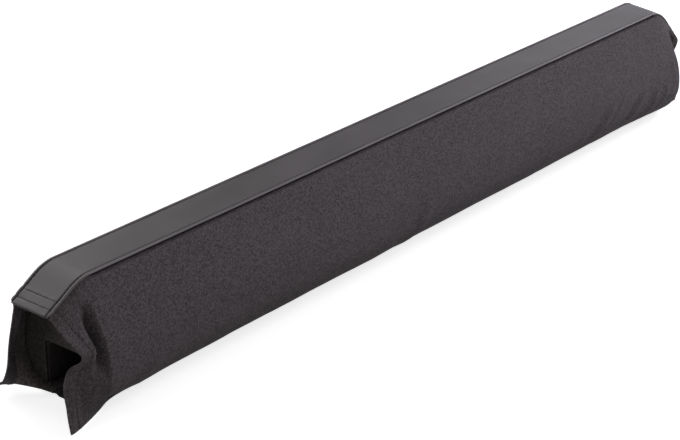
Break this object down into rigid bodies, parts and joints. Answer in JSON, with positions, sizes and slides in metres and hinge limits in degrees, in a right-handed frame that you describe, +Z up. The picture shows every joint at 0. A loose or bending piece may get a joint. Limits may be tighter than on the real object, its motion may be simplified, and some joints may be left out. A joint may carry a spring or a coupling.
{
  "type": "roof rack pad",
  "caption": "Long padded sleeve with a foam core and a bar channel, closed underneath by hook-and-loop flaps, that cushions a board on a roof rack.",
  "frame": {"origin": "middle of the bounding box's base, on the surface the pad stands on", "axes": "+X along the pad, towards the mouth whose top hem hangs lower; -Y the side that faces the viewer in the picture; +Z up, from the base to the smooth strip"},
  "size_m": [0.76, 0.086, 0.0947],
  "materials": {
    "foam": "closed-cell foam",
    "lining": "plain woven lining",
    "coated": "smooth coated cloth, semi-matt",
    "welt": "smooth coated cloth, semi-matt",
    "woven": "matt woven polyester",
    "tape": "hook and loop pile"
  },
  "bodies": {
    "root": {"foam_core": "foam", "channel_lining": "lining", "near_end_panel": "lining", "far_end_panel": "lining", "top_panel": "coated", "front_welt": "welt", "back_welt": "welt", "front_panel": "woven", "back_panel": "woven", "inner_flap": "woven", "outer_flap": "woven", "hook_tape": "tape", "loop_tape": "tape"}
  },
  "joints": []
}
